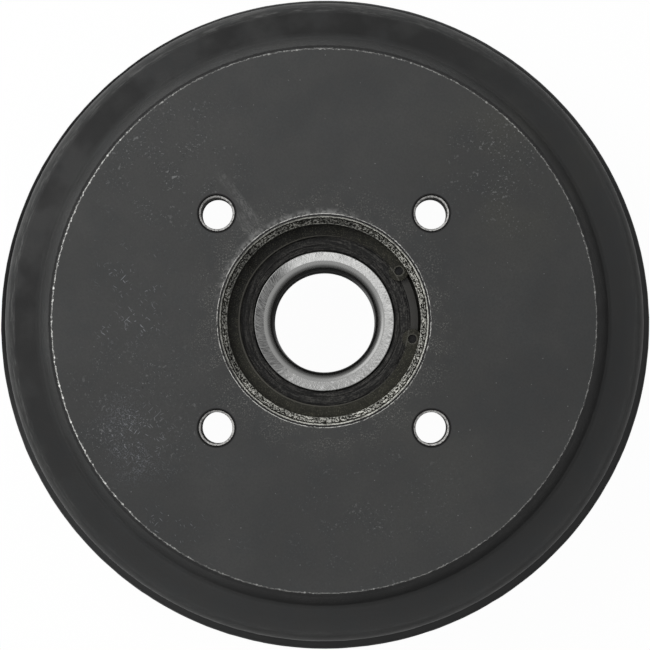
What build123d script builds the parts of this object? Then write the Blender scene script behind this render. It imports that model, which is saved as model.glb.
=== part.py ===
from build123d import *
from math import cos, pi, radians, sin, sqrt
import os

# Rear brake drum of a small car, with the wheel bearing that is pressed into its hub.
# The drum is one grey-iron casting: hub, wheel face, web and friction ring. The bearing
# is a sealed double-row ball bearing with a split inner ring, held by a circlip.
# Millimetres. +Z is the axle's axis, towards the wheel; the open rim stands on z = 0.

# Drum, outside. Depths are measured down from the wheel face.
drum_height = 66.0          # open rim to wheel face
face_inset = 10.0           # edge of the wheel face, inside the friction surface's radius
face_edge_r = 0.5           # worn edge of the wheel face
step_depth = 9.0            # wheel face to the shoulder
step_run = 4.6              # how far the step's wall leans out on the way down
step_root_r = 2.6
shoulder_drop = 3.2         # fall of the shoulder towards the drum's corner
shoulder_corner_r = 3.4
flange_height = 7.5         # stiffening flange round the open rim
flange_stand = 4.4          # how far the flange stands out of the wall
flange_fall = 1.2           # slope of the flange's upper side
flange_root_r = 3.0
flange_edge_r = 1.6

# Drum, inside.
friction_r = 100.0
friction_wall = 6.4         # wall behind the friction surface at its closed end
wall_draft = 1.8            # what the wall gains on the way to the flange
casting_wall = 8.0          # web and shoulder
cast_fillet_r = 4.0
relief_depth = 1.0          # tool run-out at the closed end of the friction surface
relief_width = 3.0
lead_in = 1.5               # chamfer that lets the shoes in
lip_step = 1.6              # the inner lip ends this far inside the rim
labyrinth_wall = 4.6        # inner lip between friction surface and labyrinth groove
labyrinth_width = 4.0       # groove that the back plate's edge runs in
labyrinth_depth = 5.0
groove_root_r = 0.8

# Hub.
bolt_circle_r = 50.0
bolt_count = 4
bolt_start_angle = 45.0
thread_d = 12.0
thread_pitch = 1.5
bolt_chamfer = 1.06         # at the wheel face
bolt_back_chamfer = 0.6
hub_flange_t = 16.0         # what the wheel bolts screw into
bolt_land = 11.0            # metal outside the bolt circle at full thickness
hub_wall = 8.0              # barrel round the bearing, at its free end
barrel_draft = 1.5
barrel_root_r = 2.0
mouth_chamfer = 2.5
stop_cover = 0.7            # the ledge below the bearing reaches this far over the seal
stop_t = 4.0
barrel_edge_r = 1.0

# Circlip that keeps the bearing in the hub, and its groove.
circlip_cover = 8.0         # wheel face to circlip
circlip_t = 2.0
circlip_groove_depth = 1.5
groove_side_gap = 0.1
groove_floor_gap = 0.05
circlip_width = 5.25        # mean width of the ring
circlip_taper = 0.37        # shift of the inner edge towards the ends
lug_hole_r = 1.4
lug_r = 3.3
lug_inset = 3.65            # groove floor to the centre of a lug hole
lug_mid_angle = 11.15       # middle of the gap between the lugs
lug_half_angle = 22.65

# Bearing: 34 bore, 64 outside, 37 wide.
bearing_bore_r = 17.0
bearing_outer_r = 32.0
bearing_width = 37.0
ball_share = 0.635          # ball's diameter, as a share of the bearing's section height
row_gap = 1.4375            # middle of the bearing to the edge of a row of balls
contact_angle = 35.0
race_relief = 0.19          # race radius over ball radius
race_gap = 0.02             # running gap between ball and race
inner_shoulder = 0.374      # shoulder heights, as shares of the ball's diameter
outer_shoulder = 0.248
low_shoulder = 0.059
inner_corner_r = 3.2        # large rounding at the outer ends of the inner rings
inner_edge = 0.3
outer_corner = 0.8

# Seals and cages.
seal_sink = 0.6             # ring face to seal face
seal_t = 0.9
seal_depth = 3.0            # length of the seal's seat in the outer ring
seal_fit_gap = 0.01
seal_sleeve_t = 0.9
seal_lip_gap = 0.05
seal_mouth = 0.55           # width of the visible slot round the inner ring
seal_lip_width = 1.9
seal_groove = 0.2
cage_clearance = 0.0525     # to the inner ring's shoulder and the outer ring's land, as a share of the ball
cage_bar = 2.0              # least thickness between two pockets
cage_back = 1.8             # ball to the cage's closed side
cage_open = 2.6             # ball centre to the cage's open side
pocket_gap = 0.12

# Clip that holds the two inner rings together until the axle does.
clip_recess = 0.9
clip_band_t = 0.6
clip_gap = 0.05
clip_lip = 0.6
clip_lip_t = 0.9
clip_half_width = 3.5
clip_split = 1.6

# Levels and radii that follow from the above.
circlip_top_z = drum_height - circlip_cover
bearing_top_z = circlip_top_z - circlip_t
bearing_mid_z = bearing_top_z - bearing_width / 2
bearing_low_z = bearing_top_z - bearing_width
half_width = bearing_width / 2
groove_r = bearing_outer_r + circlip_groove_depth
pitch_r = (bearing_bore_r + bearing_outer_r) / 2
ball_d = ball_share * (bearing_outer_r - bearing_bore_r)
ball_r = ball_d / 2
row_offset = ball_r + row_gap
race_r = ball_r + race_relief
race_shift = race_relief - race_gap
inner_land_r = pitch_r - ball_r + inner_shoulder * ball_d
inner_low_r = pitch_r - ball_r + low_shoulder * ball_d
outer_land_r = pitch_r + ball_r - outer_shoulder * ball_d
seal_seat_r = pitch_r + ball_r - low_shoulder * ball_d
balls_per_row = int(2 * pi * pitch_r / (ball_d + cage_bar))
thread_minor_r = (thread_d - 1.0825 * thread_pitch) / 2


def section(corners):
    """Closed outline from corners (r, z, rounding)."""
    outline = Polyline(*[(r, z) for r, z, rounding in corners], close=True)
    face = make_face(outline)
    for r, z, rounding in corners:
        if rounding > 0:
            corner = face.vertices().sort_by_distance((r, z))[0]
            face = fillet(corner, rounding)
    return face


def turned(face):
    """Solid of revolution of a section round the axle."""
    return revolve(Plane.XZ * face, Axis.Z)


def bearing_section(corners, side):
    """Section of one half of the bearing: z counts from its middle plane, outwards on that side."""
    return section([(r, bearing_mid_z + side * s, rounding) for r, s, rounding in corners])


def race(side, direction):
    """Circle that cuts one race: direction is -1 into the inner ring, +1 into the outer ring."""
    shift_r = -direction * race_shift * cos(radians(contact_angle))
    shift_s = direction * race_shift * sin(radians(contact_angle))
    return Pos(pitch_r + shift_r, bearing_mid_z + side * (row_offset + shift_s)) * Circle(race_r)


def brake_drum():
    """The casting, turned and drilled."""
    face_z = drum_height
    wheel_face_r = friction_r - face_inset
    step_slope = step_run / step_depth
    shoulder_z = face_z - step_depth
    corner_z = shoulder_z - shoulder_drop
    ceiling_z = corner_z - casting_wall
    web_z = face_z - casting_wall
    wall_r = friction_r + friction_wall
    wall_foot_r = wall_r + wall_draft
    flange_r = wall_foot_r + flange_stand
    step_offset = casting_wall * sqrt(1 + step_slope**2)
    relief_r = friction_r + relief_depth
    labyrinth_in_r = friction_r + labyrinth_wall
    labyrinth_out_r = labyrinth_in_r + labyrinth_width
    lip_r = friction_r + lead_in
    barrel_r = bearing_outer_r + hub_wall
    barrel_root = barrel_r + barrel_draft
    barrel_end_z = bearing_low_z - stop_t
    flange_face_z = face_z - hub_flange_t
    hub_flange_r = bolt_circle_r + bolt_land
    hub_slope = (hub_flange_t - casting_wall) / 2
    stop_r = seal_seat_r - stop_cover
    groove_top_z = circlip_top_z + groove_side_gap
    groove_low_z = bearing_top_z - groove_floor_gap

    outside = [
        (bearing_outer_r + mouth_chamfer, face_z, 0),
        (wheel_face_r, face_z, face_edge_r),
        (wheel_face_r + step_run, shoulder_z, step_root_r),
        (wall_r, corner_z, shoulder_corner_r),
        (wall_foot_r, flange_height, flange_root_r),
        (flange_r, flange_height - flange_fall, flange_edge_r),
        (flange_r, 0, face_edge_r),
    ]
    rim = [
        (labyrinth_out_r, 0, 0),
        (labyrinth_out_r, labyrinth_depth, groove_root_r),
        (labyrinth_in_r, labyrinth_depth, groove_root_r),
        (labyrinth_in_r, lip_step, 0),
        (lip_r, lip_step, 0),
        (friction_r, lip_step + lead_in, 0),
    ]
    inside = [
        (friction_r, ceiling_z - relief_width - relief_depth, 0),
        (relief_r, ceiling_z - relief_width, 0),
        (relief_r, ceiling_z, relief_depth / 2),
        (wheel_face_r + step_slope * (face_z - ceiling_z) - step_offset, ceiling_z, cast_fillet_r),
        (wheel_face_r + step_slope * casting_wall - step_offset, web_z, cast_fillet_r),
        (hub_flange_r + hub_slope, web_z, cast_fillet_r / 2),
        (hub_flange_r, flange_face_z, cast_fillet_r / 2),
        (barrel_root, flange_face_z, barrel_root_r),
        (barrel_r, barrel_end_z, barrel_edge_r),
    ]
    bore = [
        (stop_r, barrel_end_z, face_edge_r),
        (stop_r, bearing_low_z, 0),
        (bearing_outer_r, bearing_low_z, 0),
        (bearing_outer_r, groove_low_z, 0),
        (groove_r, groove_low_z, 0),
        (groove_r, groove_top_z, 0),
        (bearing_outer_r, groove_top_z, 0),
        (bearing_outer_r, face_z - mouth_chamfer, 0),
    ]
    casting = turned(section(outside + rim + inside + bore))

    top = thread_minor_r + bolt_chamfer
    back = thread_minor_r + bolt_back_chamfer
    hole = section([
        (0, flange_face_z - bolt_chamfer, 0),
        (back + bolt_chamfer, flange_face_z - bolt_chamfer, 0),
        (thread_minor_r, flange_face_z + bolt_back_chamfer, 0),
        (thread_minor_r, face_z - bolt_chamfer, 0),
        (top + bolt_chamfer, face_z + bolt_chamfer, 0),
        (0, face_z + bolt_chamfer, 0),
    ])
    for place in PolarLocations(bolt_circle_r, bolt_count, start_angle=bolt_start_angle):
        casting -= place * turned(hole)
    return casting


def circlip():
    """Spring-steel ring in the hub's groove, with two round lugs for the pliers."""
    edge_r = groove_r - groove_floor_gap
    hole_r = groove_r - lug_inset
    shift = Rot(0, 0, lug_mid_angle) * Pos(circlip_taper, 0)
    ring = Circle(edge_r) - shift * Circle(edge_r - circlip_width)
    reach = 2 * edge_r
    half = radians(lug_half_angle)
    opening = Polyline(
        (0, 0),
        (reach * cos(half), reach * sin(half)),
        (reach * cos(half), -reach * sin(half)),
        close=True,
    )
    ring -= Rot(0, 0, lug_mid_angle) * make_face(opening)
    lug_places = [
        Rot(0, 0, lug_mid_angle + end * lug_half_angle) * Pos(hole_r, 0) for end in (-1, 1)
    ]
    for place in lug_places:
        ring += place * Circle(lug_r)
    for place in lug_places:
        ring -= place * Circle(lug_hole_r)
    return Pos(0, 0, bearing_top_z) * extrude(ring, circlip_t)


def bearing_outer_ring():
    """Outer ring with both races, pressed into the hub."""
    face = section([
        (bearing_outer_r, bearing_low_z, 0),
        (bearing_outer_r, bearing_top_z, 0),
        (seal_seat_r, bearing_top_z, 0),
        (seal_seat_r, bearing_mid_z + row_offset, 0),
        (outer_land_r, bearing_mid_z + row_offset, 0),
        (outer_land_r, bearing_mid_z - row_offset, 0),
        (seal_seat_r, bearing_mid_z - row_offset, 0),
        (seal_seat_r, bearing_low_z, 0),
    ])
    for z in (bearing_low_z, bearing_top_z):
        corner = face.vertices().sort_by_distance((bearing_outer_r, z))[0]
        face = chamfer(corner, outer_corner)
    return turned(face - race(1, 1) - race(-1, 1))


def bearing_inner_ring(side):
    """One of the two inner rings, with the rounding that clears the axle's shoulder."""
    recess_r = bearing_bore_r + clip_recess
    groove = recess_r + clip_lip
    lip_s = clip_half_width - clip_lip_t
    face = bearing_section([
        (bearing_bore_r, clip_half_width, 0),
        (bearing_bore_r, half_width, inner_corner_r),
        (inner_land_r, half_width, inner_edge),
        (inner_land_r, row_offset, 0),
        (inner_low_r, row_offset, 0),
        (inner_low_r, 0, 0),
        (recess_r, 0, 0),
        (recess_r, lip_s, 0),
        (groove, lip_s, 0),
        (groove, clip_half_width, 0),
    ], side)
    return turned(face - race(side, -1))


def inner_ring_clip():
    """Split band whose two lips hook into the inner rings."""
    band_out_r = bearing_bore_r + clip_recess - clip_gap
    band_in_r = band_out_r - clip_band_t
    lip_r = band_out_r + clip_lip
    end_s = clip_half_width - clip_gap
    hook_s = clip_half_width - clip_lip_t + clip_gap
    face = section([
        (band_in_r, bearing_mid_z - end_s, 0),
        (band_in_r, bearing_mid_z + end_s, 0),
        (lip_r, bearing_mid_z + end_s, 0),
        (lip_r, bearing_mid_z + hook_s, 0),
        (band_out_r, bearing_mid_z + hook_s, 0),
        (band_out_r, bearing_mid_z - hook_s, 0),
        (lip_r, bearing_mid_z - hook_s, 0),
        (lip_r, bearing_mid_z - end_s, 0),
    ])
    cut = Pos(lip_r, 0, bearing_mid_z) * Box(lip_r, clip_split, bearing_width)
    return turned(face) - cut


def seal(side):
    """Rubber-covered steel washer with a lip that runs on the inner ring."""
    out_r = seal_seat_r - seal_fit_gap
    face_s = half_width - seal_sink
    under_s = face_s - seal_t
    sleeve_r = out_r - seal_sleeve_t
    mouth_r = inner_land_r + seal_mouth
    lip_r = inner_land_r + seal_lip_gap
    lip_root_r = inner_land_r + seal_lip_width
    return turned(bearing_section([
        (out_r, face_s, seal_groove),
        (lip_root_r, face_s, 0),
        (lip_root_r - seal_groove, face_s - seal_groove, 0),
        (mouth_r, face_s - seal_groove * 2, 0),
        (lip_r, under_s - seal_groove * 2, 0),
        (lip_r, under_s - seal_groove * 3, 0),
        (lip_root_r, under_s, 0),
        (sleeve_r, under_s, 0),
        (sleeve_r, face_s - seal_depth, 0),
        (out_r, face_s - seal_depth, 0),
    ], side))


def ball_places(side):
    """Centres of one row of balls; the rows are half a step apart."""
    start = 0 if side > 0 else 180 / balls_per_row
    row = Pos(0, 0, bearing_mid_z + side * row_offset)
    return [row * place for place in PolarLocations(pitch_r, balls_per_row, start_angle=start)]


def cage(side):
    """Crown cage, closed on its outer side, with one open pocket for each ball."""
    gap = cage_clearance * ball_d
    in_r = inner_land_r + gap
    out_r = outer_land_r - gap
    ring = turned(bearing_section([
        (in_r, row_offset - cage_open, 0),
        (out_r, row_offset - cage_open, 0),
        (out_r, row_offset + ball_r + cage_back, 0),
        (in_r, row_offset + ball_r + cage_back, 0),
    ], side))
    for place in ball_places(side):
        ring -= place * Sphere(ball_r + pocket_gap)
    return ring


def parts():
    """Every piece by its node name."""
    pieces = {
        "brake_drum": brake_drum(),
        "circlip": circlip(),
        "bearing_outer_ring": bearing_outer_ring(),
        "inner_ring_clip": inner_ring_clip(),
    }
    for name, side in (("outboard", 1), ("inboard", -1)):
        pieces[f"bearing_inner_ring_{name}"] = bearing_inner_ring(side)
        pieces[f"{name}_seal"] = seal(side)
        pieces[f"{name}_cage"] = cage(side)
        for number, place in enumerate(ball_places(side), 1):
            pieces[f"{name}_ball_{number:02d}"] = place * Sphere(ball_r)
    return pieces


os.makedirs("parts", exist_ok=True)
for node, piece in parts().items():
    export_step(piece, f"parts/{node}.step")
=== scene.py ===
from math import atan, atan2, ceil, cos, degrees, pi, radians, sin, sqrt, tan

import bmesh
import bpy
from mathutils import Matrix, Vector, geometry, noise


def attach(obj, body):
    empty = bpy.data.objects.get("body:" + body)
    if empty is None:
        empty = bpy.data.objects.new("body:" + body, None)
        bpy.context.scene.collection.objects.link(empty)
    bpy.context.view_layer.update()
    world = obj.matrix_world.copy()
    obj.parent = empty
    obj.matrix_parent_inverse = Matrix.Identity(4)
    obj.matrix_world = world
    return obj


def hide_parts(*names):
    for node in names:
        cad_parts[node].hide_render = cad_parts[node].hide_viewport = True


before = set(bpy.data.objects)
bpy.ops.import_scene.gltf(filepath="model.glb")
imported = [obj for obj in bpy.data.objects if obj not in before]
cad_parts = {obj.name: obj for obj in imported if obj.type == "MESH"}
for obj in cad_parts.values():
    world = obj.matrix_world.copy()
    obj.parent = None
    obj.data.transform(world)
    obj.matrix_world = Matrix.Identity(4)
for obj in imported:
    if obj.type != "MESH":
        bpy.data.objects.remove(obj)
bpy.context.view_layer.update()

# Brake drum.
# One grey-iron casting: hub, wheel face, web and friction ring. It is turned where the wheel,
# the bearing and the shoes run, drilled and tapped for four wheel bolts, and painted black outside.
MM = 0.001  # Sizes are in millimetres, with the axle along Z and the open side of the drum down.
FACE_Z = 66
FACE_R = 90
SHOULDER_Z = 57
SHOULDER_R = 94.6
CORNER_Z = 53.8
WALL_R = 106.4
WALL_FOOT_Z = 7.5
WALL_FOOT_R = 108.2
FLANGE_Z = 6.3
FLANGE_R = 112.6
LABYRINTH_Z = 5
LABYRINTH_OUT_R = 108.6
LABYRINTH_IN_R = 104.6
RING_FOOT_Z = 1.6
LEAD_IN_R = 101.5
FRICTION_R = 100
RUN_OUT_Z = 42.8
RUN_OUT_R = 101
CEILING_Z = 45.8
CEILING_IN_R = 91.34
WEB_Z = 58
WEB_OUT_R = 85.1
WEB_IN_R = 65
BOLT_FACE_Z = 50
BOLT_FACE_R = 61
HUB_TOP_R = 41.5
HUB_R = 40
LIP_Z = 15
LIP_R = 28
LEDGE_Z = 19
SEAT_R = 32
SNAP_LOW_Z = 55.95
SNAP_HIGH_Z = 58.1
SNAP_R = 33.5
CHAMFER_Z = 63.5
MOUTH_R = 34.5
BOLT_CIRCLE_R = 50
BOLT_ASIDE = BOLT_CIRCLE_R / sqrt(2)
BOLT_RIM_R = 6.248
RING_STEPS = 336
FACED, BACKED, PAINTED, TURNED, CAST, BORED, TAPPED = range(7)
DRILLED = (FACED, BACKED)
ROUGH_FINISHES = (PAINTED, CAST)

# Corners of the section, clockwise from the mouth: radius, height, rounding, finish after it.
DRUM_SECTION = [
    (MOUTH_R, FACE_Z, 0.2, FACED),
    (FACE_R, FACE_Z, 0.5, PAINTED),
    (SHOULDER_R, SHOULDER_Z, 2.6, PAINTED),
    (WALL_R, CORNER_Z, 3.4, PAINTED),
    (WALL_FOOT_R, WALL_FOOT_Z, 3.0, PAINTED),
    (FLANGE_R, FLANGE_Z, 1.6, PAINTED),
    (FLANGE_R, 0, 0.5, TURNED),
    (LABYRINTH_OUT_R, 0, 0.25, TURNED),
    (LABYRINTH_OUT_R, LABYRINTH_Z, 0.8, TURNED),
    (LABYRINTH_IN_R, LABYRINTH_Z, 0.8, TURNED),
    (LABYRINTH_IN_R, RING_FOOT_Z, 0.25, TURNED),
    (LEAD_IN_R, RING_FOOT_Z, 0.15, TURNED),
    (FRICTION_R, RING_FOOT_Z + LEAD_IN_R - FRICTION_R, 0.15, TURNED),
    (FRICTION_R, RUN_OUT_Z + FRICTION_R - RUN_OUT_R, 0.1, TURNED),
    (RUN_OUT_R, RUN_OUT_Z, 0, TURNED),
    (RUN_OUT_R, CEILING_Z, 0.5, CAST),
    (CEILING_IN_R, CEILING_Z, 4, CAST),
    (WEB_OUT_R, WEB_Z, 4, CAST),
    (WEB_IN_R, WEB_Z, 2, CAST),
    (BOLT_FACE_R, BOLT_FACE_Z, 2, BACKED),
    (HUB_TOP_R, BOLT_FACE_Z, 2, CAST),
    (HUB_R, LIP_Z, 1, TURNED),
    (LIP_R, LIP_Z, 0.5, BORED),
    (LIP_R, LEDGE_Z, 0, BORED),
    (SEAT_R, LEDGE_Z, 0, BORED),
    (SEAT_R, SNAP_LOW_Z, 0, BORED),
    (SNAP_R, SNAP_LOW_Z, 0, BORED),
    (SNAP_R, SNAP_HIGH_Z, 0, BORED),
    (SEAT_R, SNAP_HIGH_Z, 0.1, BORED),
    (SEAT_R, CHAMFER_Z, 0.25, BORED),
]


def outline(corners, rough=(), spacing=2.4, bend=11):
    """Points (r, z, finish) of a closed section from corners (r, z, rounding, finish).

    A finish belongs to the stretch after its corner. A step of a rounding turns at most by the
    bend, in degrees. Stretches with a rough finish are cut into steps no longer than the
    spacing, so that their surface can be made uneven."""
    points = []
    for number, (r, z, rounding, surface) in enumerate(corners):
        before = corners[number - 1]
        here = Vector((r, z))
        back = (Vector(before[:2]) - here).normalized()
        ahead = (Vector(corners[(number + 1) % len(corners)][:2]) - here).normalized()
        if not rounding:
            points.append((r, z, surface))
            continue
        turn = pi - back.angle(ahead)
        centre = here + (back + ahead).normalized() * rounding / cos(turn / 2)
        reach = rounding * tan(turn / 2)
        start = (here + back * reach - centre).normalized()
        end = (here + ahead * reach - centre).normalized()
        steps = max(2, ceil(degrees(turn) / bend))
        for step in range(steps + 1):
            point = centre + start.slerp(end, step / steps) * rounding
            points.append((point.x, point.y, before[3] if 2 * step < steps else surface))
    cut = []
    for number, (r, z, surface) in enumerate(points):
        next_r, next_z, _ = points[(number + 1) % len(points)]
        length = sqrt((next_r - r) ** 2 + (next_z - z) ** 2)
        pieces = ceil(length / spacing) if surface in rough else 1
        for piece in range(pieces):
            share = piece / pieces
            cut.append((r + share * (next_r - r), z + share * (next_z - z), surface))
    return cut


def turned(name, section, materials, steps=RING_STEPS, left_open=()):
    """Object turned round the axle from a closed section that is walked clockwise.

    Stretches whose first point is listed as left open get no faces."""
    spokes = [(cos(2 * pi * k / steps), sin(2 * pi * k / steps)) for k in range(steps)]
    places = [(r * c * MM, r * s * MM, z * MM) for r, z, _ in section for c, s in spokes]
    faces = []
    finishes = []
    for ring, (_, _, surface) in enumerate(section):
        if ring in left_open:
            continue
        here = ring * steps
        there = (ring + 1) % len(section) * steps
        for k in range(steps):
            beside = (k + 1) % steps
            faces.append((here + k, there + k, there + beside, here + beside))
            finishes.append(surface)
    mesh = bpy.data.meshes.new(name)
    mesh.from_pydata(places, [], faces)
    for material in materials:
        mesh.materials.append(material)
    mesh.polygons.foreach_set("material_index", finishes)
    mesh.polygons.foreach_set("use_smooth", [True] * len(faces))
    piece = bpy.data.objects.new(name, mesh)
    bpy.context.scene.collection.objects.link(piece)
    return piece


def crisp(piece, angle=32):
    """Keeps corners sharper than the angle and lets flat faces shade flat up to their roundings."""
    shape = bmesh.new()
    shape.from_mesh(piece.data)
    for edge in shape.edges:
        edge.smooth = len(edge.link_faces) == 2 and edge.calc_face_angle(0) < radians(angle)
    shape.to_mesh(piece.data)
    shape.free()
    weights = piece.modifiers.new("flat faces lead", "WEIGHTED_NORMAL")
    weights.keep_sharp = True
    weights.weight = 80


def node(tree, kind, inputs=None, **settings):
    """A shader node with its settings made and its sockets filled or linked."""
    made = tree.nodes.new("ShaderNode" + kind)
    for setting, value in settings.items():
        setattr(made, setting, value)
    for socket, value in (inputs or {}).items():
        if isinstance(value, bpy.types.NodeSocket):
            tree.links.new(value, made.inputs[socket])
        else:
            made.inputs[socket].default_value = value
    return made


def calc(tree, operation, first, second=0.0):
    return node(tree, "Math", {0: first, 1: second}, operation=operation).outputs[0]


def product(tree, *values):
    total = values[0]
    for value in values[1:]:
        total = calc(tree, "MULTIPLY", total, value)
    return total


def layered(tree, *masks):
    """The strongest of several masks."""
    total = masks[0]
    for mask in masks[1:]:
        total = calc(tree, "MAXIMUM", total, mask)
    return total


def fade(tree, value, start, end, low=0.0, high=1.0):
    """Smooth step from low to high while the value goes from start to end."""
    inputs = {"Value": value, "From Min": start, "From Max": end, "To Min": low, "To Max": high}
    return node(tree, "MapRange", inputs, interpolation_type="SMOOTHSTEP").outputs[0]


def band(tree, value, start, end, soft):
    """One between start and end, falling to zero over a soft width on each side."""
    return product(tree, fade(tree, value, start - soft, start), fade(tree, value, end, end + soft, 1, 0))


def tint(tree, share, under, over):
    """Colour that goes from under to over by the share."""
    inputs = {0: share}
    for socket, colour in ((6, under), (7, over)):
        plain = not isinstance(colour, bpy.types.NodeSocket)
        inputs[socket] = (*colour, 1) if plain else colour
    return node(tree, "Mix", inputs, data_type="RGBA").outputs[2]


def coated(tree, coat, *layers):
    """Coat with layers laid over it in turn, each a mask, its strength and its colour."""
    for mask, strength, colour in layers:
        coat = tint(tree, product(tree, mask, strength), coat, colour)
    return coat


def grain(tree, place, size, detail=2.0, roughness=0.5):
    """Noise between 0 and 1 with features of that size."""
    inputs = {"Vector": place, "Scale": 1 / size, "Detail": detail, "Roughness": roughness}
    return node(tree, "TexNoise", inputs).outputs[0]


def stretched(tree, place, angle, size=(1, 1, 1)):
    """Coordinates turned by an angle in degrees, and drawn out by sizes."""
    leaning = node(tree, "VectorRotate", {"Vector": place, "Angle": radians(angle)},
                   rotation_type="Z_AXIS").outputs[0]
    shares = tuple(1 / s for s in size)
    return node(tree, "VectorMath", {0: leaning, 1: shares}, operation="MULTIPLY").outputs[0]


def marks(tree, place, scale, size, share):
    """Scattered flat marks with soft edges: one in a cell, kept in that share of the cells."""
    cells = node(tree, "TexVoronoi", {"Vector": place, "Scale": scale}, voronoi_dimensions="2D")
    pick = node(tree, "SeparateColor", {0: cells.outputs["Color"]})
    kept = calc(tree, "LESS_THAN", pick.outputs[0], share)
    spread = calc(tree, "MULTIPLY", pick.outputs[1], size)
    past = calc(tree, "SUBTRACT", cells.outputs["Distance"], spread)
    return product(tree, fade(tree, past, -0.35 * size, 0, 1, 0), kept)


def finish(name, **sockets):
    """New material with plain values on its shader, and its place coordinates in millimetres."""
    material = bpy.data.materials.new(name)
    material.use_nodes = True
    tree = material.node_tree
    shader = tree.nodes["Principled BSDF"]
    for socket, value in sockets.items():
        shader.inputs[socket.replace("_", " ")].default_value = value
    place = node(tree, "TexCoord").outputs["Object"]
    place = node(tree, "VectorMath", {0: place, "Scale": 1 / MM}, operation="SCALE").outputs[0]
    return material, tree, shader, place


def polar(tree, place):
    """Radius, angle from -pi to pi and height of a place round the axle."""
    axes = node(tree, "SeparateXYZ", {0: place})
    flat = node(tree, "CombineXYZ", {0: axes.outputs[0], 1: axes.outputs[1]}).outputs[0]
    radius = node(tree, "VectorMath", {0: flat}, operation="LENGTH").outputs["Value"]
    angle = calc(tree, "ARCTAN2", axes.outputs[1], axes.outputs[0])
    return radius, angle, axes.outputs[2]


def facing(tree, angle, at):
    """One on the side of the axle at that angle in degrees, falling to minus one opposite."""
    return calc(tree, "COSINE", calc(tree, "SUBTRACT", angle, radians(at)))


def along_rim(tree, radius, angle, height, at, length, width):
    """Coordinates for streaks of that length and width that run round the axle at a radius."""
    way_round = calc(tree, "MULTIPLY", angle, at / length)
    across = calc(tree, "DIVIDE", radius, width)
    down = calc(tree, "DIVIDE", height, width)
    return node(tree, "CombineXYZ", {0: way_round, 1: across, 2: down}).outputs[0]


def raised(tree, shader, height, depth):
    """Bump of that depth at a height of one."""
    bump = node(tree, "Bump", {"Height": height, "Distance": depth * MM, "Strength": 1.0})
    tree.links.new(bump.outputs[0], shader.inputs["Normal"])


def distance(tree, place, spot):
    return node(tree, "VectorMath", {0: place, 1: spot}, operation="DISTANCE").outputs["Value"]


def gathered(tree, place, patch, spots):
    """Mask that is strong round some spots of the wheel face. A spot has a centre, reach and
    strength, and the range of the patch noise that breaks it up, or None where it is whole."""
    masks = []
    for centre, reach, strength, broken in spots:
        near = fade(tree, distance(tree, place, (*centre, FACE_Z)), 0, reach, 1, 0)
        mask = product(tree, near, strength)
        if broken:
            mask = product(tree, mask, fade(tree, patch, *broken))
        masks.append(mask)
    return layered(tree, *masks)


FILM_FROM_R = 88
FILM_TO_R = 114
# Thickness of the dust along the way from the face out to the flange.
FILM_LEVELS = [(0.0, 0.10), (0.13, 0.085), (0.25, 0.03), (0.40, 0.02), (0.58, 0.035),
               (0.70, 0.07), (0.78, 0.16), (0.84, 0.04), (1.0, 0.015)]


def dust_and_painted_light(tree, radius, angle, cloud, dust):
    """How thickly dust lies on the paint, most on the corners, with painted light added: the film is lifted
    on the side towards 125 degrees and a little on the side towards 280 degrees.
    """
    film = node(tree, "ValToRGB", {0: fade(tree, radius, FILM_FROM_R, FILM_TO_R)})
    stops = film.color_ramp.elements
    for number, (at, level) in enumerate(FILM_LEVELS):
        stop = stops[number] if number < 2 else stops.new(at)
        stop.position = at
        stop.color = (level, level, level, 1)
    level = product(
        tree,
        film.outputs[0],
        fade(tree, cloud, 0.3, 0.7, 0.75, 1.25),
        fade(tree, dust, 0.32, 0.68, 0.78, 1.22),
    )
    # Painted light: the film is made paler on the side towards 125 degrees and on the side towards 280
    # degrees.
    level = calc(tree, "ADD", level, fade(tree, facing(tree, angle, 125), -0.6, 1, 0, 0.05))
    return calc(tree, "ADD", level, fade(tree, facing(tree, angle, 280), 0.3, 1, 0, 0.03))


def shoulder_light_and_shade(tree, coat, place, radius, angle, height):
    """Painted light and shade round the step and the shoulder: a painted dark reflection on the shoulder
    towards 130 degrees, a painted shadow on the step towards 318 degrees, and a streaky painted highlight on
    the corner towards 135 degrees.
    """
    # Painted dark reflection on the shoulder, on the side towards 130 degrees.
    painted_dark_reflection = product(
        tree,
        fade(tree, facing(tree, angle, 130), -0.4, 0.8),
        band(tree, radius, FACE_R + 6.5, FACE_R + 12.5, 2.5),
        fade(tree, grain(tree, place, 20, 3, 0.6), 0.36, 0.56, 0.45, 1),
    )
    # Painted shadow on the step wall below the face's edge, on the side towards 318 degrees.
    painted_step_shadow = product(
        tree,
        fade(tree, facing(tree, angle, 318), -0.1, 0.8),
        band(tree, radius, FACE_R + 0.3, FACE_R + 4.0, 0.7),
    )
    streaks = grain(tree, along_rim(tree, radius, angle, height, WALL_R - 2.4, 7.0, 0.7), 1, 4, 0.75)
    # Painted highlight: pale streaks on the corner, strongest on the side towards 135 degrees.
    painted_corner_highlight = product(
        tree,
        band(tree, radius, WALL_R - 2.6, WALL_R + 0.2, 1.2),
        fade(tree, streaks, 0.45, 0.68),
        fade(tree, facing(tree, angle, 135), -0.2, 0.8, 0.25, 1),
    )
    return coated(
        tree, coat,
        (painted_dark_reflection, 0.85, (0.004, 0.004, 0.004)),
        (painted_step_shadow, 0.85, (0.002, 0.002, 0.002)),
        (painted_corner_highlight, 0.6, (0.10, 0.10, 0.098)),
    )


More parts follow.
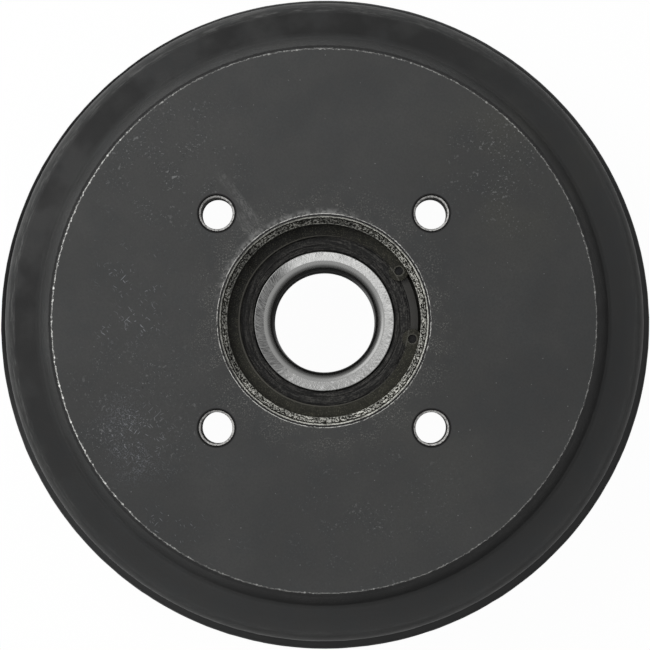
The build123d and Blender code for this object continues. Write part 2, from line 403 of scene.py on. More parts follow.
OLIVE_SPOTS = [
    ((62, 50), 44, 1.0, (0.35, 0.65)),
    ((30, -40), 60, 0.3, (0.35, 0.65)),
]
GRIT_SPOTS = [
    ((-50, 52), 36, 1.0, (0.40, 0.58)),
    ((-62, -30), 34, 1.0, (0.40, 0.58)),
    ((60, 50), 34, 0.8, (0.40, 0.56)),
    ((15, -62), 44, 0.5, (0.44, 0.60)),
]
BRUISES = [
    ((-66, -32), 13, 1.0, None),
    ((-62, -45), 14, 1.0, None),
]
SCRATCH_SPOTS = [
    ((-61, 0), 12, 1.0, None),
    ((-71, -4), 6, 1.0, None),
    ((-66, -32), 16, 0.5, None),
    ((-62, -38), 18, 1.0, None),
    ((-63, 14), 18, 1.0, (0.45, 0.60)),
    ((-45, -65), 26, 1.0, (0.50, 0.65)),
]
SCRATCH_WIDTH = 0.32
# Lean in degrees, length, and share of the places that have one.
SCRATCHES = [(35, 2.2, 0.30), (-28, 1.5, 0.30), (74, 1.8, 0.30), (-47, 3.6, 0.16), (52, 1.8, 0.50)]
SCUFF_AT = (-27, 36, 0)
SCUFF_LEAN = 52


def scratches(tree, place, patch):
    """Short bent scratches of several leans, at the spots where the face was knocked."""
    shift = node(tree, "CombineXYZ", {0: calc(tree, "MULTIPLY", patch, 3), 1: patch}).outputs[0]
    bent = node(tree, "VectorMath", {0: place, 1: shift}).outputs[0]
    hairs = []
    for lean, length, share in SCRATCHES:
        drawn = stretched(tree, bent, lean, (length, SCRATCH_WIDTH, 1))
        hairs.append(marks(tree, drawn, 0.42, 0.20, share))
    return product(tree, layered(tree, *hairs), gathered(tree, place, patch, SCRATCH_SPOTS))


def scuff(tree, place, patch):
    """Two rubbed streaks beside one bolt hole, where something slid across the face."""
    moved = node(tree, "VectorMath", {0: place, 1: SCUFF_AT}, operation="SUBTRACT").outputs[0]
    axes = node(tree, "SeparateXYZ", {0: stretched(tree, moved, SCUFF_LEAN)})
    along, across = axes.outputs[0], axes.outputs[1]
    drawn = node(tree, "CombineXYZ", {0: calc(tree, "DIVIDE", along, 3), 1: across}).outputs[0]
    rubbed = grain(tree, drawn, 0.5, 3, 0.75)
    streaks = layered(
        tree,
        product(tree, band(tree, along, -12, 5, 5), band(tree, across, 1.0, 2.3, 1.4)),
        product(tree, band(tree, along, 1, 10, 3), band(tree, across, -2.8, -0.8, 1.2)),
    )
    broken = fade(tree, patch, 0.36, 0.60, 0.3, 1)
    return product(tree, streaks, fade(tree, rubbed, 0.42, 0.60, 0.1, 1), broken)


def face_wear(tree, coat, on_face, place, radius, angle, cloud, patch):
    """Grit, pits, bruises and scratches in the paint of the wheel face, and dust by the mouth."""
    crowd = layered(tree, fade(tree, cloud, 0.60, 0.76, 0, 0.35), gathered(tree, place, patch, GRIT_SPOTS))
    fine = fade(tree, grain(tree, place, 0.75, 3, 0.7), 0.60, 0.68)
    coarse = fade(tree, grain(tree, place, 1.6, 2, 0.6), 0.64, 0.70)
    grit = product(tree, layered(tree, fine, product(tree, coarse, 0.6)), crowd)
    crumb = product(tree, marks(tree, place, 0.25, 0.055, 0.22), 0.6)
    peppered = fade(tree, grain(tree, place, 0.42, 2, 0.7), 0.54, 0.60)
    bruise = product(
        tree,
        gathered(tree, place, patch, BRUISES),
        fade(tree, patch, 0.35, 0.60, 0.3, 1),
        peppered,
    )
    near_mouth = product(
        tree,
        fade(tree, radius, MOUTH_R + 0.5, MOUTH_R + 14.5, 1, 0),
        fade(tree, grain(tree, place, 5, 2), 0.36, 0.58),
    )
    halo = product(tree, fade(tree, grain(tree, place, 0.6, 3, 0.85), 0.56, 0.61), near_mouth)
    pits = fade(tree, grain(tree, place, 0.9, 3, 0.7), 0.38, 0.32)
    pits = product(tree, pits, layered(tree, crowd, near_mouth))
    blown = product(
        tree,
        fade(tree, facing(tree, angle, 118), 0.55, 0.9),
        fade(tree, radius, MOUTH_R + 0.7, MOUTH_R + 3.3, 1, 0),
        fade(tree, grain(tree, place, 2.2, 4, 0.75), 0.40, 0.62),
    )
    wear = [
        (scuff(tree, place, patch), 0.32, (0.22, 0.22, 0.215)),
        (halo, 0.55, (0.24, 0.238, 0.22)),
        (pits, 0.7, (0.005, 0.005, 0.005)),
        (blown, 0.8, (0.20, 0.20, 0.195)),
        (layered(tree, grit, crumb), 0.8, (0.235, 0.24, 0.24)),
        (bruise, 0.5, (0.13, 0.135, 0.15)),
        (scratches(tree, place, patch), 0.55, (0.26, 0.27, 0.29)),
    ]
    wear = [(product(tree, mask, on_face), strength, colour) for mask, strength, colour in wear]
    return coated(tree, coat, *wear)


def edge_wear(tree, coat, on_face, place, radius, angle, height, cloud):
    """Bright chips along the edge of the face, stronger towards 180 degrees as a painted highlight, with a
    painted shadow as a dark line just outside them; a black ring round the mouth, and painted shade as dark
    rings round the rims of the holes.
    """
    ragged = fade(tree, grain(tree, place, 0.8, 3, 0.8), 0.3, 0.7, -0.19, 0.19)
    torn = calc(tree, "ADD", radius, ragged)
    half_torn = calc(tree, "ADD", radius, calc(tree, "MULTIPLY", ragged, 0.5))

    dashes = grain(tree, along_rim(tree, radius, angle, height, FACE_R, 1.7, 0.5), 1, 4, 0.8)
    dashes = product(
        tree,
        band(tree, torn, FACE_R - 0.36, FACE_R - 0.18, 0.10),
        fade(tree, dashes, 0.44, 0.56, 0.12, 0.8),
    )
    beads = product(
        tree,
        marks(tree, place, 0.75, 0.40, 0.65),
        band(tree, radius, FACE_R - 0.55, FACE_R - 0.05, 0.12),
    )
    chips_and_highlight = layered(tree, dashes, beads)
    # Painted highlight: the chips are brighter on the side towards 180 degrees.
    chips_and_highlight = product(tree, chips_and_highlight, fade(tree, facing(tree, angle, 180), 0.45, 1, 0.30, 0.97))
    flakes = grain(tree, along_rim(tree, radius, angle, height, FACE_R, 0.8, 0.6), 1, 4, 0.8)
    flakes = product(
        tree,
        band(tree, radius, FACE_R + 0.5, FACE_R + 3.0, 1.0),
        fade(tree, flakes, 0.50, 0.68),
        fade(tree, cloud, 0.42, 0.60),
    )
    lip = grain(tree, along_rim(tree, radius, angle, height, MOUTH_R + 0.5, 1.4, 0.3), 1, 3, 0.75)
    lip = product(
        tree,
        band(tree, half_torn, MOUTH_R + 0.675, MOUTH_R + 0.825, 0.08),
        fade(tree, lip, 0.42, 0.54),
    )
    # Painted shade: a dark ring round the rim of each bolt hole.
    folded = node(tree, "VectorMath", {0: place}, operation="ABSOLUTE").outputs[0]
    from_hole = distance(tree, folded, (BOLT_ASIDE, BOLT_ASIDE, FACE_Z))
    hole_rim_shade = product(tree, band(tree, from_hole, BOLT_RIM_R - 0.05, BOLT_RIM_R + 0.3, 0.12), on_face)
    return coated(
        tree, coat,
        (flakes, 0.3, (0.14, 0.14, 0.135)),
        (band(tree, radius, MOUTH_R - 0.05, MOUTH_R + 0.55, 0.08), 0.95, (0.001, 0.001, 0.001)),
        (lip, 1.0, (0.52, 0.515, 0.49)),
        (hole_rim_shade, 0.9, (0.003, 0.003, 0.003)),
        # Painted shadow: a dark line on the top of the step, just outside the chips.
        (band(tree, torn, FACE_R + 0.12, FACE_R + 0.95, 0.15), 0.92, (0.002, 0.002, 0.002)),
        (chips_and_highlight, 1.0, (0.80, 0.80, 0.77)),
    )


def drum_paint():
    """Black paint with a thin film of dust, chipped bright along the edge of the wheel face, with painted
    light and shade on the step, the shoulder, the corner and the outer wall.
    """
    material, tree, shader, place = finish("drum_black_paint", Specular_IOR_Level=0.34)
    radius, angle, height = polar(tree, place)
    on_face = fade(tree, height, FACE_Z - 0.5, FACE_Z - 0.2)
    cloud = grain(tree, place, 28, 3)
    patch = grain(tree, place, 9, 3, 0.6)
    dust = grain(tree, place, 0.7, 4, 0.75)
    # The film is dust with painted light in it, paler on two sides.
    film = dust_and_painted_light(tree, radius, angle, cloud, dust)
    # Painted shade on the outer wall and flange, on the side towards 152 degrees; the same mask also makes it
    # rougher.
    painted_shade_and_dull = fade(tree, facing(tree, angle, 152), 0.62, 0.92)
    painted_shade_and_dull = product(tree, painted_shade_and_dull, fade(tree, radius, WALL_R + 0.6, WALL_R + 2.1))

    black = tint(tree, fade(tree, patch, 0.40, 0.65), (0.0130, 0.0134, 0.0136), (0.0140, 0.0150, 0.0158))
    black = tint(tree, gathered(tree, place, cloud, OLIVE_SPOTS), black, (0.018, 0.0178, 0.0135))
    coat = tint(tree, film, black, (0.16, 0.16, 0.155))
    # Painted light and shade on the step, the shoulder and the corner.
    coat = shoulder_light_and_shade(tree, coat, place, radius, angle, height)
    coat = coated(tree, coat, (painted_shade_and_dull, 0.9, (0.003, 0.003, 0.003)))
    coat = face_wear(tree, coat, on_face, place, radius, angle, cloud, patch)
    coat = edge_wear(tree, coat, on_face, place, radius, angle, height, cloud)
    tree.links.new(coat, shader.inputs["Base Color"])

    dull = calc(tree, "ADD", calc(tree, "MULTIPLY", film, 0.6), calc(tree, "MULTIPLY", painted_shade_and_dull, 0.3))
    dull = calc(tree, "ADD", fade(tree, patch, 0.3, 0.7, 0.40, 0.50), dull)
    tree.links.new(dull, shader.inputs["Roughness"])

    casting = product(tree, grain(tree, place, 1.1, 4, 0.6), fade(tree, on_face, 0, 1, 1, 0))
    raised(tree, shader, calc(tree, "ADD", calc(tree, "MULTIPLY", dust, 0.18), casting), 0.05)
    return material


TOOL_FEED = 0.22


def turned_iron(name, dark, light, depth):
    """Bare machined grey iron: fine tool lines round the axle and a thin film of oil."""
    material, tree, shader, place = finish(name, Metallic=1.0, Anisotropic=0.35)
    radius, angle, height = polar(tree, place)
    travel = calc(tree, "ADD", radius, height)
    way_round = calc(tree, "MULTIPLY", angle, 0.7)
    tool = node(tree, "CombineXYZ", {0: calc(tree, "DIVIDE", travel, TOOL_FEED), 1: way_round}).outputs[0]
    lines = grain(tree, tool, 1, 2, 0.55)
    stain = grain(tree, place, 14, 4, 0.6)
    flakes = grain(tree, place, 0.35, 2)
    shade = calc(tree, "ADD", calc(tree, "MULTIPLY", lines, 0.7), calc(tree, "MULTIPLY", flakes, 0.3))
    bare = tint(tree, fade(tree, shade, 0.35, 0.65), dark, light)
    brown = tuple(d * t for d, t in zip(dark, (0.85, 0.72, 0.58)))
    bare = tint(tree, fade(tree, stain, 0.55, 0.75, 0, 0.6), bare, brown)
    tree.links.new(bare, shader.inputs["Base Color"])
    tree.links.new(fade(tree, stain, 0.3, 0.7, 0.30, 0.48), shader.inputs["Roughness"])
    raised(tree, shader, shade, depth)
    return material


def cast_iron():
    """Cast skin inside the drum: dark oxide with overspray, sandy and uneven."""
    material, tree, shader, place = finish("drum_cast_skin")
    sand = grain(tree, place, 0.8, 5, 0.65)
    cloud = grain(tree, place, 16, 4, 0.6)
    skin = tint(tree, fade(tree, sand, 0.35, 0.70), (0.022, 0.021, 0.020), (0.075, 0.070, 0.063))
    rust = product(tree, fade(tree, cloud, 0.55, 0.75), fade(tree, sand, 0.45, 0.60))
    skin = coated(tree, skin, (rust, 0.5, (0.10, 0.052, 0.028)))
    tree.links.new(skin, shader.inputs["Base Color"])
    tree.links.new(fade(tree, cloud, 0.3, 0.7, 0.62, 0.82), shader.inputs["Roughness"])
    raised(tree, shader, sand, 0.12)
    return material


def bored_iron():
    """Machined mouth of the hub: speckled grey iron under an oily olive film, with the speckle made stronger
    towards 290 degrees as a painted highlight.
    """
    material, tree, shader, place = finish("hub_bored_iron", Specular_IOR_Level=0.2)
    radius, angle, height = polar(tree, place)
    salt = grain(tree, place, 0.6, 2, 0.75)
    rings = grain(tree, along_rim(tree, radius, angle, height, MOUTH_R - 0.5, 3.0, 0.3), 1, 2, 0.6)
    cloud = grain(tree, place, 7, 3, 0.6)
    wavy = calc(tree, "ADD", radius, fade(tree, salt, 0.3, 0.7, -0.12, 0.12))
    inner_edge = band(tree, wavy, SEAT_R - 0.1, SEAT_R + 0.15, 0.1)
    inner_edge = product(tree, inner_edge, fade(tree, salt, 0.42, 0.55, 0.1, 0.7))
    edges = layered(tree, inner_edge, band(tree, wavy, MOUTH_R - 0.38, MOUTH_R - 0.14, 0.1))
    edges = product(tree, edges, fade(tree, rings, 0.38, 0.56, 0.2, 0.8))
    gully = band(tree, radius, MOUTH_R - 0.78, MOUTH_R - 0.52, 0.1)
    speckle_and_highlight = calc(tree, "ADD", calc(tree, "MULTIPLY", salt, 0.75), calc(tree, "MULTIPLY", rings, 0.25))
    speckle_and_highlight = product(
        tree,
        fade(tree, speckle_and_highlight, 0.505, 0.540),
        fade(tree, cloud, 0.3, 0.7, 0.4, 1),
        # Painted highlight: more bright speckle on the side towards 290 degrees.
        fade(tree, facing(tree, angle, 290), -1, 0.6, 0.6, 1),
        fade(tree, gully, 0, 1, 1, 0),
    )
    bright = product(tree, layered(tree, speckle_and_highlight, edges), fade(tree, height, CHAMFER_Z - 0.3, CHAMFER_Z))
    film = tint(tree, fade(tree, cloud, 0.35, 0.65), (0.003, 0.003, 0.0022), (0.014, 0.0135, 0.0095))
    tree.links.new(tint(tree, bright, film, (0.66, 0.655, 0.60)), shader.inputs["Base Color"])
    tree.links.new(fade(tree, cloud, 0.3, 0.7, 0.34, 0.52), shader.inputs["Roughness"])
    raised(tree, shader, calc(tree, "ADD", salt, rings), 0.04)
    return material


EDGE_NICKS = 0.16
CAST_WAVES = 0.07
FLAT_STRETCH = 12


def uneven(piece, section, steps):
    """Moves the cast surfaces in and out by a few hundredths, as sand leaves them, and nicks
    the edge of the wheel face. Turned faces stay true."""
    outward = [vertex.normal.copy() for vertex in piece.data.vertices]
    for ring, (r, z, surface) in enumerate(section):
        cast = surface in ROUGH_FINISHES and section[ring - 1][2] in ROUGH_FINISHES
        edge = r > FACE_R - 0.5 and z > FACE_Z - 0.5
        true_face = z > FACE_Z - 0.01 and not edge
        if true_face or not cast:
            continue
        for number in range(ring * steps, (ring + 1) * steps):
            vertex = piece.data.vertices[number]
            spot = vertex.co / MM
            if edge:
                amount = -max(0.0, noise.fractal(spot * 0.9, 0.8, 2.0, 3)) * EDGE_NICKS
            else:
                amount = noise.fractal(spot * 0.22, 0.7, 2.1, 4) * CAST_WAVES
            vertex.co += outward[number] * amount * MM


paint = drum_paint()
bare_iron = turned_iron("drum_turned_iron", (0.26, 0.255, 0.245), (0.50, 0.49, 0.47), 0.012)
drum_finishes = [paint, bare_iron, paint, bare_iron, cast_iron(), bored_iron()]
drum_outline = outline(DRUM_SECTION, ROUGH_FINISHES)
drilled = []
for ring, (r, _, surface) in enumerate(drum_outline):
    if surface in DRILLED and abs(r - drum_outline[(ring + 1) % len(drum_outline)][0]) > FLAT_STRETCH:
        drilled.append(ring)
drum = turned("brake_drum_casting", drum_outline, drum_finishes, left_open=drilled)
uneven(drum, drum_outline, RING_STEPS)

# Bolt holes.
# Four holes through the wheel face, countersunk and tapped M12x1.5 for the wheel bolts. Each wall
# is one right-hand helix, run out into the countersinks, and joined to the two drilled faces.
THREAD_PITCH = 1.5
THREAD_MINOR_R = 5.188
THREAD_MAJOR_R = 6.0
# Share of a pitch along the thread, and the radius there.
THREAD_SHAPE = [
    (0, THREAD_MINOR_R),
    (0.25, THREAD_MINOR_R),
    (0.5625, THREAD_MAJOR_R),
    (0.6875, THREAD_MAJOR_R),
]
BOLT_CHAMFER = BOLT_RIM_R - THREAD_MINOR_R
BACK_CHAMFER = 0.6
RIM_WORN = 0.08
HOLE_STEPS = 72
JUST_INSIDE = 0.9999
bolt_spots = []
for number in range(4):
    turn = radians(45 + 90 * number)
    bolt_spots.append(Vector((BOLT_CIRCLE_R * cos(turn), BOLT_CIRCLE_R * sin(turn))))


def tapped_iron():
    """Tapped hole: a bright ring in the countersink, thread flanks dark with cutting oil, and painted shade
    darkening the top of the countersink.
    """
    material, tree, shader, place = finish("tapped_hole_iron", Metallic=0.45)
    mist = grain(tree, place, 0.8, 4, 0.75)
    folded = node(tree, "VectorMath", {0: place}, operation="ABSOLUTE").outputs[0]
    axes = node(tree, "SeparateXYZ", {0: folded})
    aside = [calc(tree, "SUBTRACT", axes.outputs[i], BOLT_ASIDE) for i in (0, 1)]
    from_axis = calc(tree, "SQRT", calc(tree, "ADD", *(calc(tree, "MULTIPLY", a, a) for a in aside)))
    ring = product(
        tree,
        band(tree, from_axis, BOLT_RIM_R - 0.9, BOLT_RIM_R - 0.5, 0.14),
        fade(tree, mist, 0.38, 0.56, 0.35, 1),
        fade(tree, axes.outputs[2], FACE_Z - 1.5, FACE_Z - 1.2),
    )
    oily = tint(tree, fade(tree, mist, 0.44, 0.62), (0.006, 0.006, 0.006), (0.12, 0.118, 0.11))
    # Painted shade: the top of the countersink is made almost black.
    outer_rim_shade = fade(tree, from_axis, BOLT_RIM_R - 0.45, BOLT_RIM_R - 0.3)
    oily = tint(tree, outer_rim_shade, oily, (0.005, 0.005, 0.005))
    tree.links.new(tint(tree, ring, oily, (0.75, 0.74, 0.72)), shader.inputs["Base Color"])
    tree.links.new(fade(tree, mist, 0.3, 0.7, 0.25, 0.45), shader.inputs["Roughness"])
    raised(tree, shader, mist, 0.02)
    return material


def hole_corner(shape, spot, radius, step, z):
    """Corner at one of the steps round a hole."""
    turn = 2 * pi * step / HOLE_STEPS
    return shape.verts.new(((spot.x + radius * cos(turn)) * MM, (spot.y + radius * sin(turn)) * MM, z * MM))


def hole_ring(shape, spot, radius, z):
    return [hole_corner(shape, spot, radius, step, z) for step in range(HOLE_STEPS)]


def hole_face(shape, corners, surface):
    face = shape.faces.new(corners)
    face.material_index = surface
    face.smooth = True


def join(shape, lower, upper):
    """Wall between two rings of a hole, facing its middle."""
    for step in range(HOLE_STEPS):
        beside = (step + 1) % HOLE_STEPS
        hole_face(shape, (lower[beside], lower[step], upper[step], upper[beside]), TAPPED)


def thread(shape, spot, low, high):
    """Threaded wall of one hole, from low to high."""
    levels = len(THREAD_SHAPE)
    count = levels * ceil((high - low) / THREAD_PITCH + 1)
    columns = []
    for step in range(HOLE_STEPS + 1):
        column = []
        for level in range(count + 1):
            share, radius = THREAD_SHAPE[level % levels]
            z = low + THREAD_PITCH * (step / HOLE_STEPS - 1 + level // levels + share)
            if not low < z < high:
                z = min(max(z, low), high)
                radius = THREAD_MINOR_R
            column.append(hole_corner(shape, spot, radius, step, z))
        columns.append(column)
    for left, right in zip(columns, columns[1:]):
        for level in range(count):
            corners = (right[level], left[level], left[level + 1], right[level + 1])
            hole_face(shape, corners, TAPPED)


def drilled_face(shape, ring, rims):
    """Flat face between one ring of the drum and the next, with the rims of the holes left out."""
    surface = drum_outline[ring][2]
    loops = [[shape.verts[level * RING_STEPS + k] for k in range(RING_STEPS)]
             for level in (ring, (ring + 1) % len(drum_outline))] + rims
    corners = [corner for loop in loops for corner in loop]
    edges = []
    for loop in loops:
        first = corners.index(loop[0])
        edges += [(first + k, first + (k + 1) % len(loop)) for k in range(len(loop))]
    flat = [Vector(corner.co[:2]) / MM for corner in corners]
    _, _, triangles, sources, _, _ = geometry.delaunay_2d_cdt(flat, edges, [], 0, 1e-5)
    inner_r = min(flat[0].length, flat[RING_STEPS].length)
    rim_r = (Vector(rims[0][0].co[:2]) / MM - bolt_spots[0]).length
    for triangle in triangles:
        used = [sources[index][0] for index in triangle]
        middle = sum((flat[index] for index in used), Vector((0, 0))) / 3
        in_hole = any((middle - spot).length < rim_r * JUST_INSIDE for spot in bolt_spots)
        if in_hole or middle.length < inner_r * JUST_INSIDE:
            continue
        order = used if surface == FACED else used[::-1]
        hole_face(shape, [corners[index] for index in order], surface)


drum.data.materials.append(tapped_iron())
shape = bmesh.new()
shape.from_mesh(drum.data)
shape.verts.ensure_lookup_table()
front_rims = []
back_rims = []
for spot in bolt_spots:
    low = BOLT_FACE_Z + BACK_CHAMFER
    high = FACE_Z - BOLT_CHAMFER
    front_rims.append(hole_ring(shape, spot, BOLT_RIM_R + RIM_WORN, FACE_Z))
    back_rims.append(hole_ring(shape, spot, THREAD_MINOR_R + BACK_CHAMFER, BOLT_FACE_Z))
    cone_top = hole_ring(shape, spot, BOLT_RIM_R, FACE_Z - RIM_WORN / 3)
    join(shape, cone_top, front_rims[-1])
    join(shape, hole_ring(shape, spot, THREAD_MINOR_R, high), cone_top)
    join(shape, back_rims[-1], hole_ring(shape, spot, THREAD_MINOR_R, low))
    thread(shape, spot, low, high)
shape.verts.ensure_lookup_table()
for ring in drilled:
    drilled_face(shape, ring, front_rims if drum_outline[ring][2] == FACED else back_rims)
bmesh.ops.remove_doubles(shape, verts=shape.verts, dist=1e-7)
bmesh.ops.dissolve_degenerate(shape, dist=1e-7, edges=shape.edges)
shape.to_mesh(drum.data)
shape.free()
crisp(drum)
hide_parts("brake_drum")
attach(drum, "drum")

# Circlip.
# Stamped from spring steel, hardened and blackened. It is sprung into the hub's groove
# with pliers in its two lugs, and keeps the bearing from coming out.
CIRCLIP_Z = 56
CIRCLIP_T = 2
CIRCLIP_OUT_R = 33.45
CIRCLIP_IN_R = 28.2
CIRCLIP_SHIFT = Vector((0.37, 0))
CIRCLIP_EDGE = 0.16
LUG_AT = 11.15
LUG_HALF = 22.65
LUG_HOLE_AT_R = 29.85
LUG_R = 3.3
LUG_SWEEP = 300
LUG_STEPS = 60
LUG_HOLE_R = 1.4
LUG_HOLE_STEPS = 24
OUTSIDE_STEPS = 220
INSIDE_STEPS = 200


def arc(centre, radius, start, end, steps):
    """Points on an arc, with its angles in degrees."""
    points = []
    for step in range(steps + 1):
        angle = radians(start + (end - start) * step / steps)
        points.append(centre + Vector((cos(angle), sin(angle))) * radius)
    return points


def circlip_edge():
    """Points round the ring and its lugs, with the gap towards +X."""
    lug_middle = Vector((cos(radians(LUG_HALF)), -sin(radians(LUG_HALF)))) * LUG_HOLE_AT_R
    lug = []
    for point in arc(lug_middle, LUG_R, -LUG_HALF, LUG_SWEEP - LUG_HALF, LUG_STEPS):
        past_tip = len(lug) > 0.6 * LUG_STEPS
        if past_tip and (point - CIRCLIP_SHIFT).length > CIRCLIP_IN_R:
            break
        lug.append(point)
    last = lug[-1] - CIRCLIP_SHIFT
    meeting = degrees(atan2(-last.y, last.x))
    outside = arc(Vector((0, 0)), CIRCLIP_OUT_R, LUG_HALF, 360 - LUG_HALF, OUTSIDE_STEPS)
    inside = arc(CIRCLIP_SHIFT, CIRCLIP_IN_R, 360 - meeting, meeting, INSIDE_STEPS)
    other_lug = [Vector((point.x, -point.y)) for point in reversed(lug)]
    return outside + lug + inside[1:-1] + other_lug


def toward_lugs(points):
    """Points turned from +X to where the gap of the fitted ring is."""
    turn = Matrix.Rotation(radians(LUG_AT), 2)
    return [turn @ point for point in points]


def stamped(name, loops, low, thick, edge, material):
    """Flat piece from closed loops of points, with its edges rounded."""
    curve = bpy.data.curves.new(name, "CURVE")
    curve.dimensions = "2D"
    curve.fill_mode = "BOTH"
    curve.extrude = (thick / 2 - edge) * MM
    curve.bevel_depth = edge * MM
    curve.bevel_resolution = 2
    curve.offset = -edge * MM
    for loop in loops:
        spline = curve.splines.new("POLY")
        spline.points.add(len(loop) - 1)
        for point, spot in zip(spline.points, loop):
            point.co = (spot.x * MM, spot.y * MM, 0, 1)
        spline.use_cyclic_u = True
    draft = bpy.data.objects.new(name, curve)
    bpy.context.scene.collection.objects.link(draft)
    bpy.context.view_layer.update()
    finished = draft.evaluated_get(bpy.context.evaluated_depsgraph_get())
    mesh = bpy.data.meshes.new_from_object(finished)
    bpy.data.objects.remove(draft)
    mesh.transform(Matrix.Translation((0, 0, (low + thick / 2) * MM)))
    mesh.materials.clear()
    mesh.materials.append(material)
    shape = bmesh.new()
    shape.from_mesh(mesh)
    bmesh.ops.remove_doubles(shape, verts=shape.verts, dist=1e-6)
    bmesh.ops.recalc_face_normals(shape, faces=shape.faces)
    for face in shape.faces:
        face.smooth = True
    shape.to_mesh(mesh)
    shape.free()
    piece = bpy.data.objects.new(name, mesh)
    bpy.context.scene.collection.objects.link(piece)
    return piece


def blackened_steel(hole_spots):
    """Black phosphate on spring steel, rubbed round its lug holes, with a painted shadow of the hub wall on
    the side towards 120 degrees and a painted highlight along its inner edge.
    """
    material, tree, shader, place = finish("circlip_black_steel", Specular_IOR_Level=0.15)
    patch = grain(tree, place, 4, 3, 0.6)
    speck = grain(tree, place, 0.35, 3, 0.7)
    radius, angle, _ = polar(tree, place)
    # Painted shadow of the hub wall: darker on the side towards 120 degrees.
    painted_wall_shadow = fade(tree, facing(tree, angle, 300), -1, 0.3, 0.85, 0)
    # Painted highlight: a lighter line along the inner edge.
    inner_edge = band(tree, radius, CIRCLIP_IN_R - 0.1, CIRCLIP_IN_R + 0.22, 0.1)
    base = tint(tree, fade(tree, patch, 0.35, 0.65), (0.013, 0.0128, 0.0095), (0.025, 0.0245, 0.019))
    base = tint(tree, painted_wall_shadow, base, (0.001, 0.001, 0.0008))
    base = tint(tree, fade(tree, speck, 0.55, 0.64, 0, 0.8), base, (0.09, 0.086, 0.066))
    base = tint(tree, inner_edge, base, (0.06, 0.058, 0.05))
    for spot in hole_spots:
        away = distance(tree, place, (*spot, CIRCLIP_Z + CIRCLIP_T))
        rubbed = band(tree, away, LUG_HOLE_R, LUG_HOLE_R + 0.35, 0.15)
        rubbed = product(tree, rubbed, fade(tree, speck, 0.35, 0.60, 0.4, 1))
        base = tint(tree, rubbed, base, (0.075, 0.073, 0.062))
    tree.links.new(base, shader.inputs["Base Color"])
    tree.links.new(fade(tree, patch, 0.3, 0.7, 0.30, 0.55), shader.inputs["Roughness"])
    raised(tree, shader, speck, 0.03)
    return material


lug_holes = []
for turn in (radians(LUG_HALF), -radians(LUG_HALF)):
    lug_holes.append(Vector((cos(turn), sin(turn))) * LUG_HOLE_AT_R)
circlip_loops = [toward_lugs(circlip_edge())]
for middle in lug_holes:
    hole = arc(middle, LUG_HOLE_R, 0, 360, LUG_HOLE_STEPS)
    circlip_loops.append(toward_lugs(hole[:-1]))
lug_holes = toward_lugs(lug_holes)
circlip_steel = blackened_steel(lug_holes)
circlip = stamped("hub_circlip", circlip_loops, CIRCLIP_Z, CIRCLIP_T, CIRCLIP_EDGE, circlip_steel)
crisp(circlip, 40)
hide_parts("circlip")
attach(circlip, "drum")

# Bearing rings.
# Hardened bearing steel. The outer ring is pressed into the hub. The inner ring is split in two,
# each half ground on its face and bore, with a large rounding where the axle's shoulder turns.
LAND_R = 23.3
FLAT_FROM_R = 20.2
BORE_R = 17
WHEEL_MARK_R = 22
WHEEL_MARK_WIDTH = 0.20
WHEEL_MARK_LENGTH = 3
DARK_SIDE_AT = 178
HOLE_SHADOW_BLACK = (0.0005, 0.0005, 0.0005)


def ground_steel():
    """Ground bearing steel with crossing wheel marks. A painted reflection darkens the flat on the side
    towards 178 degrees, drawn in grease colours, and lifts it a little towards 80 degrees; painted shade
    darkens the edge of the bore on the side towards 120 degrees.
    """
    material, tree, shader, place = finish("bearing_ground_steel", Metallic=1.0)
    radius, angle, _ = polar(tree, place)
    cuts = []
    for lean in (0.55, -0.75):
        way_round = calc(tree, "MULTIPLY", angle, WHEEL_MARK_R)
        sweep = calc(tree, "ADD", way_round, calc(tree, "MULTIPLY", radius, lean))
        across = calc(tree, "DIVIDE", sweep, WHEEL_MARK_WIDTH)
        down = calc(tree, "DIVIDE", radius, WHEEL_MARK_LENGTH)
        trail = node(tree, "CombineXYZ", {0: across, 1: down}).outputs[0]
        cuts.append(grain(tree, trail, 1, 2, 0.6))
    flat = band(tree, radius, FLAT_FROM_R, LAND_R - 0.4, 0.15)
    hatch = product(tree, calc(tree, "ADD", cuts[0], cuts[1]), 0.5, flat)
    fine = grain(tree, place, 0.25, 3, 0.7)
    # Painted reflection: the flat is darker on the side towards 178 degrees.
    dark_side_reflection = fade(tree, facing(tree, angle, DARK_SIDE_AT), 0.42, 0.78)
    dark_side_reflection = product(tree, dark_side_reflection, flat, fade(tree, fine, 0.3, 0.6, 0.75, 1))
    # Painted reflection: a little lighter on the side towards 80 degrees.
    shade = calc(tree, "ADD", hatch, calc(tree, "MULTIPLY", facing(tree, angle, 80), 0.05))
    bright = tint(tree, fade(tree, shade, 0.40, 0.60), (0.27, 0.27, 0.265), (0.66, 0.66, 0.65))
    dark_side_colour = tint(tree, fade(tree, cuts[0], 0.4, 0.6), (0.05, 0.05, 0.05), (0.19, 0.19, 0.187))
    # Painted shade at the edge of the bore, on the side towards 120 degrees.
    film = fade(tree, facing(tree, angle, 120), -0.1, 0.7)
    film = product(tree, film, fade(tree, radius, BORE_R + 0.15, BORE_R + 0.6, 1, 0))
    ground = tint(tree, film, tint(tree, dark_side_reflection, bright, dark_side_colour), (0.05, 0.05, 0.05))
    tree.links.new(ground, shader.inputs["Base Color"])
    dull = calc(tree, "ADD", fade(tree, fine, 0.3, 0.7, 0.20, 0.32), calc(tree, "MULTIPLY", film, 0.5))
    tree.links.new(dull, shader.inputs["Roughness"])
    raised(tree, shader, calc(tree, "ADD", hatch, calc(tree, "MULTIPLY", fine, 0.15)), 0.012)
    return material


